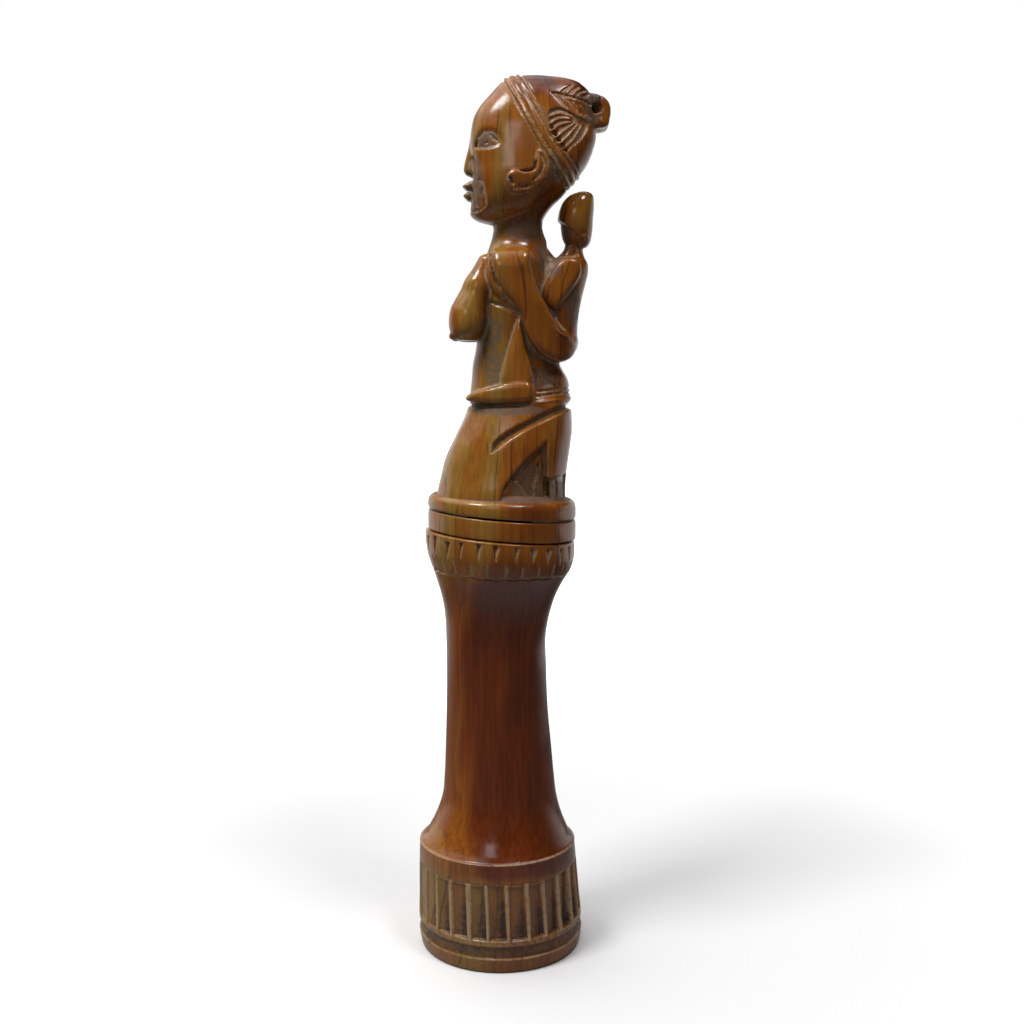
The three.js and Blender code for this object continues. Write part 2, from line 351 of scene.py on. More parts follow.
def arm_face(y, z):
    """How far out the arm's outer face is: round at the shoulder, then level, then turning in to the hand."""
    return 13.3 - 0.04 * np.maximum(y - 6.5, 0) ** 2 - 0.09 * np.maximum(z - 180.5, 0) ** 2


def carve_body(block):
    block.add(loft(TRUNK))
    block.add(plate(ARM, 3.0, arm_face, edge=2.4), 0.4)
    block.add(loft(WEB), 1.0)
    # The fold in front of the shoulder, down to the armpit.
    fold = (
        (-2.6, 184.6),
        (-0.9, 183.0),
        (-0.2, 178.0),
        (1.6, 174.6),
        (0.2, 173.2),
        (-2.0, 175.4),
        (-3.4, 179.5),
    )
    block.add(plate(fold, 3.0, 11.6, edge=2.6), 0.5)
    # The breast: two limbs that widen downwards, a round end and the nipple, cut level below.
    block.add(limb((4.9, -3.6, 182.6), 2.2, (5.4, -5.7, 176.4), 3.5), 1.2)
    block.add(limb((5.4, -5.7, 176.4), 3.5, (5.8, -8.1, 169.6), 4.8), 1.2)
    block.add(ellipsoid((5.9, -8.5, 166.7), (4.8, 4.7, 4.6)), 1.5)
    block.add(ellipsoid((6.2, -12.0, 163.9), (1.2, 1.2, 1.1)), 0.5)
    under = ((-15, 162.8), (-6.4, 162.6), (-6.9, 159.6), (-15, 159.6))
    block.cut(plate(under, 0.0, 14.0, edge=0.5, curved=False), 0.5)
    # The shadowed hollow between breast and arm.
    block.line(((-2.5, 184.6), (-1.9, 180.6), (-0.7, 177.0), (1.4, 174.2)), 0.8, -0.6, taper=(0.5, 0))
    block.line(((-2.6, 172.4), (1.0, 171.2), (5.0, 169.6)), 1.2, -0.7, taper=(0.3, 0.5), soften=0.3)
    # The hollow under the hand.
    block.cut(ellipsoid((13.2, 8.9, 157.9), (3.6, 3.0, 1.5), tilt=-20), 0.6)
    # The ridge that parts the hand from the wrist.
    block.line(((13.6, 166.4), (15.6, 164.4), (19.6, 162.9)), 0.9, 0.4)


def carve_wrapper(block):
    """The cloth round the hips, with the deep cuts that part thigh, shin and foot."""
    block.line(((-9.6, 146.3), (-4.0, 146.1), (4.0, 146.2), (8.6, 147.0)), 1.1, -0.9, taper=(1, 0.3))
    thigh_cut = ((-1.9, 134.6), (-0.6, 136.6), (3.0, 139.2), (7.0, 141.4), (13.4, 144.4), (22.0, 147.4))
    block.line(thigh_cut, 2.3, -1.7, taper=(0.3, 1), soften=0.15)
    knee_hollow = (
        (11.7, 137.0),
        (7.4, 133.0),
        (4.0, 129.4),
        (1.0, 125.4),
        (0.0, 121.0),
        (11.4, 121.0),
        (11.8, 130.0),
    )
    block.patch(knee_hollow, -1.9, edge=1.0, curved=False)
    block.line(((9.6, 131.6), (9.2, 128.6), (8.3, 126.6), (7.9, 122.9)), 0.9, -1.0, taper=(0.3, 1))
    block.line(((3.4, 127.6), (5.4, 126.0), (6.4, 123.6)), 0.6, -0.5, taper=(0.2, 1))
    foot = ((11.2, 127.9), (13.2, 127.6), (15.4, 128.0), (19.5, 128.8), (19.5, 121), (11.2, 121))
    block.patch(foot, -0.6, edge=0.5, curved=False, within=(2, 20))
    for y in (12.4, 14.3):
        toe = ((y - 0.2, 126.9), (y, 125.4), (y + 0.1, 122.0))
        block.line(toe, 0.8, -0.6, taper=(0.3, 1), within=(2, 20))
    belt = ((8.6, 149.6), (12.0, 150.0), (16.0, 150.5), (22.0, 150.9))
    block.line(belt, 0.6, -0.5, taper=(0.3, 1))
    block.line([(y, z - 1.2) for y, z in belt], 0.6, -0.5, taper=(0.3, 1))
    block.line([(y, z - 2.7) for y, z in belt], 0.8, 0.3, taper=(0.5, 1))
    facet = ((9.2, 155.4), (10.8, 151.0), (14.2, 150.9))
    block.patch(facet, -0.35, edge=0.6, curved=False, within=(5, 20))


# ---------- the mother's head ----------
# Rows as in TRUNK.
HEAD = (
    (192.7, -4.0, 3.5, 3.6, 2.2),
    (193.9, -6.4, 6.0, 5.8, 2.3),
    (195.4, -7.9, 8.6, 7.3, 2.4),
    (197.6, -8.0, 11.4, 8.7, 2.5),
    (200.5, -7.7, 14.6, 9.8, 2.6),
    (204.5, -7.5, 19.6, 10.4, 2.8),
    (207.5, -7.3, 22.0, 10.3, 2.8),
    (210.5, -7.6, 23.5, 10.1, 2.8),
    (213.6, -7.7, 24.5, 9.8, 2.8),
    (217.0, -7.3, 24.6, 9.4, 2.7),
    (219.6, -6.6, 24.5, 8.9, 2.6),
    (222.5, -4.9, 24.1, 8.1, 2.5),
    (225.5, -2.2, 22.9, 6.9, 2.4),
    (227.3, -0.6, 21.3, 5.8, 2.3),
    (228.8, 1.0, 18.6, 4.4, 2.2),
    (229.7, 2.4, 14.0, 2.8, 2.2),
)
NAPE = (
    (189.0, 1.0, 10.8, 5.2, 2.2),
    (193.9, 1.0, 11.1, 5.6, 2.2),
    (196.9, 2.0, 13.1, 5.8, 2.2),
    (200.0, 3.0, 16.2, 6.4, 2.2),
    (204.5, 4.0, 19.8, 7.4, 2.2),
    (208.0, 6.0, 22.2, 8.4, 2.2),
    (211.0, 8.0, 23.6, 8.8, 2.2),
)
BAND_FRONT = (
    (0.6, 230.2),
    (2.0, 226.6),
    (4.3, 222.2),
    (7.6, 216.0),
    (10.2, 211.4),
    (13.6, 206.6),
    (17.6, 201.6),
)
BAND_WIDTH = 1.95  # of each of the headband's two strips
BAND_ACROSS = (0.83, 0.55)  # the way across the strips in the side view


def beside_band(strips):
    """The headband's front line moved back by a number of strips."""
    return np.array(BAND_FRONT) + np.array(BAND_ACROSS) * BAND_WIDTH * strips


def carve_headband(block):
    block.patch(np.vstack([BAND_FRONT, beside_band(2)[::-1]]), 0.45, edge=0.25)
    for strips in (0.5, 1.5):
        block.line(beside_band(strips), 1.6, -0.5, taper=(1, 1), soften=0.3)
    for strips in (-0.2, 2.2):
        block.line(beside_band(strips), 0.6, -0.5, taper=(1, 1))
    block.line(((12.6, 207.0), (13.2, 204.2), (16.0, 202.0)), 0.6, -0.5)


def carve_ear(block):
    ear = (
        (10.2, 209.9),
        (11.9, 208.6),
        (12.6, 206.4),
        (11.7, 203.6),
        (9.6, 201.3),
        (7.0, 199.9),
        (3.6, 199.3),
        (1.9, 200.9),
        (1.7, 203.0),
        (3.4, 204.6),
        (7.2, 205.0),
        (9.0, 206.8),
        (9.4, 208.8),
    )
    block.patch(ear, 0.5, edge=0.4)
    rim = ((10.4, 209.4), (12.2, 208.1), (12.2, 205.2), (10.4, 202.1), (7.2, 200.2), (3.4, 199.6))
    block.line(rim, 0.7, 0.2)
    block.line(((10.0, 209.0), (11.0, 206.6), (10.2, 204.0), (8.2, 202.2)), 1.0, -0.45, soften=0.3)
    block.line(((9.1, 207.0), (8.5, 205.3), (7.2, 204.7), (4.6, 204.6)), 0.9, -1.3, taper=(0.4, 0.1))
    block.line(((2.4, 203.2), (3.0, 202.4), (3.3, 201.5)), 1.1, -1.3, taper=(0.5, 0.5))
    block.line(((7.6, 201.3), (6.1, 200.9), (4.5, 200.9)), 0.8, -1.0)


def carve_face(block):
    # The muzzle is cut back from the cheeks. Nose and lips stand out from it, the lips as two wedges.
    muzzle = (
        (-10.0, 209.6),
        (-6.3, 209.2),
        (-6.0, 204.6),
        (-4.4, 202.2),
        (-3.7, 199.0),
        (-3.6, 196.6),
        (-6.0, 195.5),
        (-10.0, 195.4),
    )
    block.patch(muzzle, -0.5, edge=0.6, curved=False, within=(0, 12))
    nose = (
        (-5.5, 215.4),
        (-7.5, 214.0),
        (-8.7, 210.2),
        (-9.3, 207.8),
        (-9.5, 206.2),
        (-9.0, 205.2),
        (-7.4, 204.6),
        (-5.0, 204.5),
    )
    block.add(plate(nose, -1, lambda y, z: 1.0 + 0.14 * (214 - z), edge=1.3, curved=False), 0.8)
    upper_lip = ((-6.0, 203.9), (-7.8, 203.5), (-9.9, 202.3), (-8.9, 201.3), (-6.0, 201.0))
    lower_lip = ((-6.0, 201.0), (-8.4, 200.9), (-9.7, 199.9), (-8.5, 198.7), (-6.0, 198.3))
    block.add(plate(upper_lip, -1, 3.0, edge=1.4, curved=False), 0.3)
    block.add(plate(lower_lip, -1, 2.6, edge=1.4, curved=False), 0.3)
    block.line(((-10.4, 201.1), (-8.6, 201.05), (-6.2, 200.8)), 0.5, -0.8, taper=(1, 0.3), within=(0, 5))
    # Eye: a sunken socket, a raised almond with a line round it, and a cut at each corner.
    socket = ((-6.4, 211.2), (-5.2, 214.6), (-2.6, 215.4), (0.2, 213.6), (0.0, 211.2), (-3.2, 210.4))
    block.patch(socket, -0.25, edge=0.6)
    block.add(ellipsoid((5.3, -3.4, 212.6), (1.3, 2.2, 1.4)), 0.4)
    upper_lid = ((-6.2, 211.4), (-5.2, 213.8), (-3.2, 214.7), (-1.2, 214.0))
    lower_lid = ((0.1, 212.1), (-1.4, 211.2), (-3.6, 210.8), (-6.2, 211.4))
    block.line(upper_lid + lower_lid, 0.4, -0.2, taper=(1, 1))
    for corner in (((-1.6, 213.0), (-0.7, 212.2)), ((-5.6, 212.4), (-5.9, 211.4))):
        block.line(corner, 0.8, -0.6, taper=(1, 1))
    # Knife marks beside the eye and the mouth.
    for nick in (
        ((-5.2, 213.2), (-4.3, 214.2)),
        ((-3.9, 211.6), (-2.9, 212.1)),
        ((-2.5, 214.0), (-1.5, 213.1)),
        ((-5.3, 203.2), (-5.0, 201.6)),
        ((-4.5, 200.8), (-4.7, 199.0)),
        ((-5.4, 198.4), (-4.6, 197.0)),
        ((-6.4, 197.4), (-5.7, 196.4)),
    ):
        block.line(nick, 0.6, -0.3, taper=(0.4, 0.4), within=(1, 12))
    # The line from nose to chin that frames the mouth.
    fold = ((-6.2, 204.6), (-4.5, 202.2), (-3.8, 199.0), (-3.6, 196.6), (-5.6, 195.5), (-7.4, 195.9))
    block.line(fold, 0.6, -0.35, taper=(0.4, 0.3), within=(1, 12))


def carve_leaves(block):
    """Two feather shapes on each side of the hair cap, which meet at the knob."""
    vein = ((12.9, 224.2), (16.6, 223.6), (20.0, 222.8), (22.8, 221.8))
    block.line(vein, 0.8, -0.6, taper=(0.2, 0.6))
    upper = (
        ((15.4, 224.4), (18.2, 226.3)),
        ((17.1, 224.0), (19.9, 226.0)),
        ((19.0, 223.8), (21.4, 225.4)),
        ((20.8, 223.3), (22.4, 224.3)),
    )
    lower = (
        ((13.6, 223.8), (17.2, 220.2)),
        ((16.2, 223.3), (20.1, 218.9)),
        ((17.6, 222.9), (21.3, 218.8)),
        ((19.4, 222.5), (22.8, 218.3)),
    )
    for (y0, z0), (y1, z1) in upper + lower:
        bowed = ((y0 + y1) / 2 + 0.06 * (z1 - z0), (z0 + z1) / 2 + 0.2)
        block.line(((y0, z0), bowed, (y1, z1)), 0.9, -0.38, taper=(0.3, 0.5))
    fan = (
        (12.4, 219.4),
        (15.2, 220.3),
        (18.8, 218.6),
        (22.0, 217.0),
        (20.8, 213.6),
        (18.4, 211.2),
        (16.2, 209.4),
        (14.6, 211.6),
        (13.1, 214.4),
        (12.4, 217.2),
    )
    block.patch(fan, -0.55, edge=0.3)
    ribs = (
        ((12.7, 218.2), (15.0, 218.9), (18.6, 218.0)),
        ((12.7, 216.4), (14.8, 217.6), (18.2, 217.6)),
        ((13.1, 214.6), (14.9, 216.0), (18.2, 217.0)),
        ((13.9, 212.8), (16.1, 214.6), (19.0, 216.8)),
        ((14.9, 211.4), (17.2, 213.4), (19.8, 216.6)),
        ((16.0, 210.2), (18.4, 212.4), (20.8, 216.4)),
    )
    for rib in ribs:
        block.line(rib, 1.1, 0.6, taper=(0.7, 0.1), soften=0.15)


def carve_head(block):
    block.add(loft(NAPE), 0.5)
    block.add(loft(HEAD), 0.7)
    knob = (
        (19.0, 224.6),
        (24.0, 224.9),
        (26.9, 223.6),
        (28.1, 221.4),
        (27.9, 218.6),
        (26.6, 216.6),
        (19.0, 216.6),
    )
    block.add(plate(knob, 0.0, 4.6, edge=1.3), 0.5)
    carve_face(block)
    carve_ear(block)
    carve_headband(block)
    carve_leaves(block)
    # The line round the knob.
    block.line(((25.3, 225.4), (25.5, 220.0), (25.2, 215.8)), 0.4, -0.25, taper=(1, 1))
    # The cord hole: drilled in from each side, aslant, to meet inside the knob.
    block.cut(limb((6.0, 25.2, 221.7), 1.25, (0.0, 22.4, 219.6), 1.25), 0.2)


# ---------- the child ----------
# Rows as in TRUNK.
CHILD_BODY = (
    (158.4, 12.0, 18.2, 4.4, 2.3),
    (160.6, 11.0, 19.9, 6.4, 2.3),
    (165.0, 10.0, 20.1, 6.9, 2.3),
    (169.3, 10.0, 20.4, 6.8, 2.3),
    (173.4, 10.0, 21.1, 6.7, 2.3),
    (177.5, 10.0, 22.1, 6.6, 2.3),
    (181.0, 10.5, 22.8, 6.2, 2.3),
    (182.6, 11.0, 22.7, 5.2, 2.3),
    (184.4, 13.6, 21.8, 3.8, 2.2),
    (186.4, 15.6, 21.4, 3.2, 2.2),
    (189.0, 16.0, 22.0, 3.2, 2.2),
)
CHILD_HEAD = (
    (186.6, 16.6, 22.4, 2.6, 2.1),
    (188.0, 15.7, 23.2, 3.9, 2.1),
    (190.8, 15.0, 23.8, 5.0, 2.1),
    (194.0, 14.9, 24.0, 5.4, 2.1),
    (196.6, 15.4, 24.2, 5.1, 2.1),
    (198.6, 16.4, 24.2, 4.4, 2.1),
    (200.0, 17.9, 24.0, 3.4, 2.1),
    (200.9, 19.6, 23.4, 2.2, 2.1),
)
CHILD_ARM = (
    (17.4, 183.6),
    (19.8, 183.0),
    (20.7, 180.6),
    (19.9, 178.0),
    (18.4, 175.8),
    (16.4, 173.2),
    (14.3, 170.6),
    (12.6, 171.4),
    (10.8, 175.2),
    (12.9, 179.8),
    (15.0, 182.6),
)


def carve_child(block):
    block.add(loft(CHILD_BODY), 0.8)
    block.add(loft(CHILD_HEAD), 0.4)
    block.add(plate(CHILD_ARM, 2.0, lambda y, z: 8.9 + 0.1 * (16 - y), edge=1.7), 0.35)
    # The face is sunk below a cap of hair, with two lines at the mouth and a small ear.
    face = ((12, 193.6), (15.2, 193.4), (19.3, 190.3), (20.4, 188.4), (19.6, 184), (12, 184))
    block.patch(face, -0.8, edge=0.35, curved=False, within=(0, 12))
    block.line(((16.8, 187.4), (18.6, 187.2), (20.2, 188.0)), 0.4, -0.3)
    block.line(((16.4, 186.6), (18.4, 186.3), (20.6, 187.2)), 0.4, -0.3)
    ear = ((20.6, 189.8), (21.8, 190.2), (22.1, 188.8), (21.2, 187.4), (20.4, 188.0))
    block.line(ear, 0.45, -0.4, taper=(1, 1))
    block.line([(y + 0.5, z - 0.7) for y, z in ear[:3]], 0.45, 0.3)
    shin = ((4.8, 168.2), (2.6, 162.0), (0.3, 151.6), (7.4, 151.0), (8.0, 155.6), (6.6, 161.0), (5.6, 166.0))
    block.add(plate(shin, 4.0, lambda y, z: 12.3 - 0.05 * (z - 152), edge=1.5), 0.3)
    foot = (
        (-8.4, 147.5),
        (-7.2, 149.5),
        (-3.0, 150.7),
        (1.6, 151.8),
        (6.6, 152.2),
        (8.4, 150.6),
        (7.6, 147.4),
        (0.0, 146.8),
    )
    block.add(plate(foot, 3.0, lambda y, z: 13.0 - 0.03 * np.minimum(y - 2, 0) ** 2, edge=1.6), 0.3)


def carve_figure():
    block = Block((0, -20, 119), (18, 30, CROWN + 1), VOXEL)
    carve_body(block)
    carve_child(block)
    carve_head(block)
    carve_wrapper(block)
    x, y, z = np.meshgrid(*block.axes, indexing="ij", sparse=True)
    block.field += 0.09 * wobble(x * 0.7, y * 0.6, z * 0.45, seed=3)
    return block


# ---------- from fields and rings to meshes ----------


def box_blur(field, radius):
    """The mean of a field over a cube of cells, taken one axis after another."""
    for axis in range(field.ndim):
        pad = [(radius + 1, radius) if a == axis else (0, 0) for a in range(field.ndim)]
        total = np.cumsum(np.pad(field, pad, mode="edge"), axis=axis, dtype=np.float32)
        size = field.shape[axis]
        ahead = np.take(total, range(2 * radius + 1, 2 * radius + 1 + size), axis=axis)
        field = (ahead - np.take(total, range(size), axis=axis)) / (2 * radius + 1)
    return field


def skin_of(block):
    """Points in mm and four-sided faces of the surface where the field is zero, and how deep each point
    lies in a fine and in a broad hollow, which is less than nothing on an edge."""
    field = np.concatenate([block.field[::-1], block.field])
    axes = [np.concatenate([-block.axes[0][::-1], block.axes[0]]), *block.axes[1:]]
    inside = field < 0
    size = np.array(field.shape) - 1
    corners = np.array([(i, j, k) for i in (0, 1) for j in (0, 1) for k in (0, 1)])
    count = np.zeros(size, np.int8)
    for i, j, k in corners:
        count += inside[i : size[0] + i, j : size[1] + j, k : size[2] + k]
    active = (count > 0) & (count < 8)
    cells = np.argwhere(active)
    number = np.full(active.shape, -1, np.int32)
    number[active] = np.arange(len(cells))
    total, hits = np.zeros((len(cells), 3)), np.zeros(len(cells))
    for a in corners:
        for b in corners:
            if (b - a).sum() != 1 or np.abs(b - a).sum() != 1:
                continue
            start, end = field[tuple((cells + a).T)], field[tuple((cells + b).T)]
            crosses = (start < 0) != (end < 0)
            share = np.where(crosses, start / np.where(crosses, start - end, 1), 0)
            total += np.where(crosses[:, None], a + share[:, None] * (b - a), 0)
            hits += crosses
    local = total / hits[:, None]
    points = np.stack([axes[i][cells[:, i]] + local[:, i] * block.step for i in range(3)], axis=1)
    faces = []
    for axis in range(3):
        across = [(axis + 1) % 3, (axis + 2) % 3]
        u, v = np.eye(3, dtype=int)[across]
        first = inside.take(range(size[axis]), axis)
        second = inside.take(range(1, size[axis] + 1), axis)
        at = np.argwhere(first != second)
        at = at[((at[:, across] > 0) & (at[:, across] < size[across])).all(axis=1)]
        quad = np.stack([number[tuple((at - move).T)] for move in (0, u, u + v, v)], axis=1)
        outward = first[tuple(at.T)]
        faces.append(np.where(outward[:, None], quad, quad[:, ::-1]))
    near = np.clip(field, -1.5, 1.5)
    nearest = tuple(np.round(cells + local).astype(int).T)
    hollows = [near[nearest] - box_blur(near, radius)[nearest] for radius in (2, 7)]
    return points, np.vstack(faces), hollows


def make_mesh(name, points, faces, material, **attributes):
    """An object with its points given in mm. Each attribute holds one number for each point."""
    mesh = bpy.data.meshes.new(name)
    mesh.from_pydata((np.asarray(points) * MM).tolist(), [], [list(face) for face in faces])
    mesh.update()
    mesh.shade_smooth()
    for key, values in attributes.items():
        layer = mesh.attributes.new(key, "FLOAT", "POINT")
        layer.data.foreach_set("value", np.asarray(values, np.float32).ravel())
    mesh.materials.append(material)
    piece = bpy.data.objects.new(name, mesh)
    bpy.context.scene.collection.objects.link(piece)
    return piece


# ---------- turned and carved pieces below the figure ----------
COLUMNS = 440  # points in each section


def levels(*spans):
    """Heights from spans of start, end and step."""
    return np.concatenate([np.arange(start, end - step / 4, step) for start, end, step in spans])


def turned(name, sections, material, carve, dust=0.0, ring=True):
    """A skin round the axis. Each section is a radius, a shift towards the back, a height on the axis, and a
    slope down towards the back. A ring closes on itself, and anything else has a cap at both ends. Carve
    gives the depth cut away at each point, and how light and how dark the wood is painted there, which holds
    bare and worn wood, and painted light and shade."""
    radius, shift, height, slope = (column[:, None] for column in np.array(sections, float).T)
    angle = np.linspace(0, 2 * np.pi, COLUMNS, endpoint=False)[None, :]
    depth, light, dark = carve(angle, height, radius)
    reach = radius - depth
    y = shift + reach * np.sin(angle)
    points = np.stack([reach * np.cos(angle), y, height - slope * y], axis=-1).reshape(-1, 3)
    rows = len(sections)
    a = np.arange(rows if ring else rows - 1)[:, None]
    b = np.arange(COLUMNS)[None, :]
    following, beside = (a + 1) % rows, (b + 1) % COLUMNS
    corners = (a * COLUMNS + b, a * COLUMNS + beside, following * COLUMNS + beside, following * COLUMNS + b)
    faces = np.stack(corners, axis=-1).reshape(-1, 4).tolist()
    if not ring:
        faces += [list(range(COLUMNS))[::-1], list(range((rows - 1) * COLUMNS, rows * COLUMNS))]
    # A point stands on a worn edge where its neighbourhood lies deeper.
    relief = np.pad(depth, ((3, 3), (0, 0)), mode="edge")
    relief = np.concatenate([relief[:, -3:], relief, relief[:, :3]], axis=1)
    worn = smoothstep(0.08, 0.3, box_blur(relief, 3)[3:-3, 3:-3] - depth)
    dust = np.broadcast_to(dust, depth.shape)
    # The cut layer holds bare wood and painted highlights, and the dark layer painted shade with some dark
    # patina.
    return make_mesh(name, points, faces, material, cut=light, dust=dust, dark=dark, worn=worn)


def rounded(low, high, radius, shift, slopes, edges):
    """The side of a disc from its lower to its upper corner, with round edges. Slopes and edges are pairs,
    for the bottom and the top."""
    turns = np.radians((0, 15, 30, 45, 60, 75, 90))
    for turn in turns:
        yield radius - edges[0] * (1 - np.sin(turn)), shift, low + edges[0] * (1 - np.cos(turn)), slopes[0]
    for share in (0.25, 0.5, 0.75):
        height = low + edges[0] + share * (high - low - sum(edges))
        yield radius + 0.05, shift, height, slopes[0] + share * (slopes[1] - slopes[0])
    for turn in turns[::-1]:
        yield radius - edges[1] * (1 - np.sin(turn)), shift, high - edges[1] * (1 - np.cos(turn)), slopes[1]


# Rows hold height, and how far the front and the back are from the axis.
CONTAINER_FORM = (
    (0.0, 21.7, 21.5),
    (3.0, 22.2, 22.0),
    (14.0, 22.3, 21.3),
    (24.0, 22.2, 20.4),
    (28.2, 22.0, 20.0),
    (28.7, 21.95, 19.95),
    (28.9, 21.5, 19.5),
    (29.4, 21.0, 19.1),
    (32.0, 19.3, 17.8),
    (36.5, 17.2, 16.1),
    (41.0, 15.8, 15.0),
    (46.0, 15.3, 14.4),
    (54.5, 14.9, 13.6),
    (64.0, 14.6, 12.7),
    (76.0, 14.5, 12.2),
    (86.0, 14.7, 12.2),
    (91.0, 15.0, 13.2),
    (95.2, 15.7, 14.5),
    (99.5, 17.0, 16.4),
    (103.8, 18.6, 18.7),
    (106.4, 19.5, 19.4),
    (109.0, 19.9, 19.6),
    (112.0, 19.9, 19.5),
)
LIP = 28.7  # the sharp edge below the flare
FLUTES = 26
FLUTE_LOW, FLUTE_HIGH = 8.6, 23.2
RECESS_LOW, RECESS_HIGH = 4.0, 7.2  # the sunken band below the flutes
NOTCHES = 26
NOTCH_LOW, NOTCH_HIGH = 106.2, 110.9  # wedges that point down
STROKE_LOW, STROKE_HIGH = 103.0, 107.0
BORDER_LINE = 102.6
FOOT_EDGE = 0.8  # radius of the rounded edge that it stands on
SEAM = 0.15  # half of the black line between container and ring


def repeats(angle, count, seed):
    """For each angle, the place across the nearest of so many repeats, from -0.5 to 0.5, and a function that
    gives each repeat a steady random number of its own."""
    turn = angle / (2 * np.pi) * count
    which = np.floor(turn + 0.5).astype(int) % count
    table = np.random.default_rng(seed).uniform(-1, 1, (8, count))
    return turn - np.floor(turn + 0.5), lambda row: table[row][which]


def carve_flutes(angle, height, radius):
    """Upright hollows round the base, each unlike the next, between two sunken bands."""
    pitch = 2 * np.pi * radius / FLUTES
    across, own = repeats(angle, FLUTES, seed=11)
    off = across * pitch - 0.25 * own(0) - 0.06 * np.sin(height * 0.3 + 5 * own(1))
    half = pitch / 2 - 0.46 - 0.2 * own(2) + 0.15 * (FLUTE_LOW + 6 - height) / 14
    down = np.clip((FLUTE_HIGH - height) / (FLUTE_HIGH - FLUTE_LOW), 0, 1)
    rubbed = 1 - 0.6 * smoothstep(0.55, 0.95, -np.sin(angle))  # flatter at the front
    floor = rubbed * (0.65 + 0.75 * down) * (1 + 0.15 * own(4)) * (1 + 0.25 * off / half)
    ends = smoothstep(FLUTE_LOW, FLUTE_LOW + 0.35, height)
    ends = ends * smoothstep(0, 0.35, FLUTE_HIGH + 0.2 * own(5) - height)
    depth = floor * smoothstep(0, 0.35, half - np.abs(off)) * ends
    fluted = smoothstep(FLUTE_LOW - 0.5, FLUTE_LOW, height) * smoothstep(FLUTE_HIGH + 0.6, FLUTE_HIGH, height)
    light = rubbed * fluted * smoothstep(0.1, -0.1, half - np.abs(off)) * (0.7 + 0.3 * own(6))
    # Painted shade, with some dark patina: the deeper a flute, the darker, more so on one wall of each flute
    # and lower down.
    dark = smoothstep(0.25, 1.2, depth) * (0.45 + 0.55 * smoothstep(-0.4, 0.8, off / half) * down)
    ledge = smoothstep(RECESS_HIGH, RECESS_HIGH + 0.3, height)
    ledge = ledge * smoothstep(FLUTE_LOW + 0.1, FLUTE_LOW - 0.3, height)
    recess = smoothstep(RECESS_LOW, RECESS_LOW + 0.3, height)
    recess = recess * smoothstep(RECESS_HIGH + 0.2, RECESS_HIGH - 0.1, height)
    edge = np.exp(-(((height - FLUTE_HIGH - 0.3) / 0.2) ** 2))
    lips = sum(np.exp(-(((height - at) / 0.22) ** 2)) for at in (RECESS_LOW - 0.1, LIP))
    depth += 0.12 * ledge + 0.6 * recess + 0.25 * edge
    light = light + 0.3 * ledge + 0.4 * edge + 0.8 * lips * (0.7 + 0.3 * np.sin(3 * angle))
    # The sunken band below the flutes gets painted shade as well.
    return depth, light, np.maximum(dark, 0.55 * recess)


def carve_zigzag(angle, height, radius):
    """Wedges that point down, upright strokes between them, and a wavy line below."""
    turn = 0.045  # a notch stands this far from the side, in radians
    pitch = 2 * np.pi * radius / NOTCHES
    across, own = repeats(angle + turn, NOTCHES, seed=5)
    rise = (height - NOTCH_LOW - 0.35 * own(0)) / (NOTCH_HIGH - NOTCH_LOW)
    off = across * pitch - 0.2 * own(1) - (0.25 + 0.35 * own(2)) * rise
    notch = np.maximum((0.8 + 0.15 * own(3)) * np.clip(rise, 0, 1) - np.abs(off), 0)
    notch = 1.4 * notch * smoothstep(1.04, 0.98, rise)
    # Painted highlight on one wall of each wedge, and painted shade on the other.
    lit_side = smoothstep(0.04, 0.12, notch) * smoothstep(-0.25, 0.0, off)
    shaded = smoothstep(0.04, 0.2, notch) * smoothstep(0.0, -0.25, off)
    across, own = repeats(angle + turn + np.pi / NOTCHES, NOTCHES, seed=6)
    fall = (STROKE_HIGH + 0.5 * own(0) - height) / (STROKE_HIGH - STROKE_LOW)
    off = across * pitch - 0.2 * own(1) + 0.2 * fall
    wide = (0.42 + 0.1 * own(2)) * smoothstep(0, 0.35, fall) * smoothstep(1.05, 0.9, fall)
    stroke = np.maximum(wide - np.abs(off), 0)
    sag = BORDER_LINE + 0.12 * np.cos(2 * np.pi * across) + 0.1 * own(3)
    line = 0.5 * np.maximum(1 - np.abs(height - sag) / 0.36, 0) * (0.8 + 0.2 * own(4))
    light = np.maximum(lit_side, smoothstep(0.03, 0.12, stroke))
    # The wavy line below is painted light under its middle and painted shade above it.
    light = np.maximum(light, 0.8 * smoothstep(0.08, 0.25, line) * smoothstep(0.3, 0.1, height - sag))
    dark = np.maximum(0.7 * shaded, 0.3 * smoothstep(0.1, 0.3, line) * smoothstep(0.1, 0.25, height - sag))
    return notch + stroke + line, light, dark


def carve_container(angle, height, radius):
    depths, lights, darks = zip(carve_flutes(angle, height, radius), carve_zigzag(angle, height, radius))
    uneven = wobble(radius * np.cos(angle) / 4, radius * np.sin(angle) / 4, height / 9, seed=8)
    return sum(depths) + 0.06 * uneven, sum(lights), sum(darks)


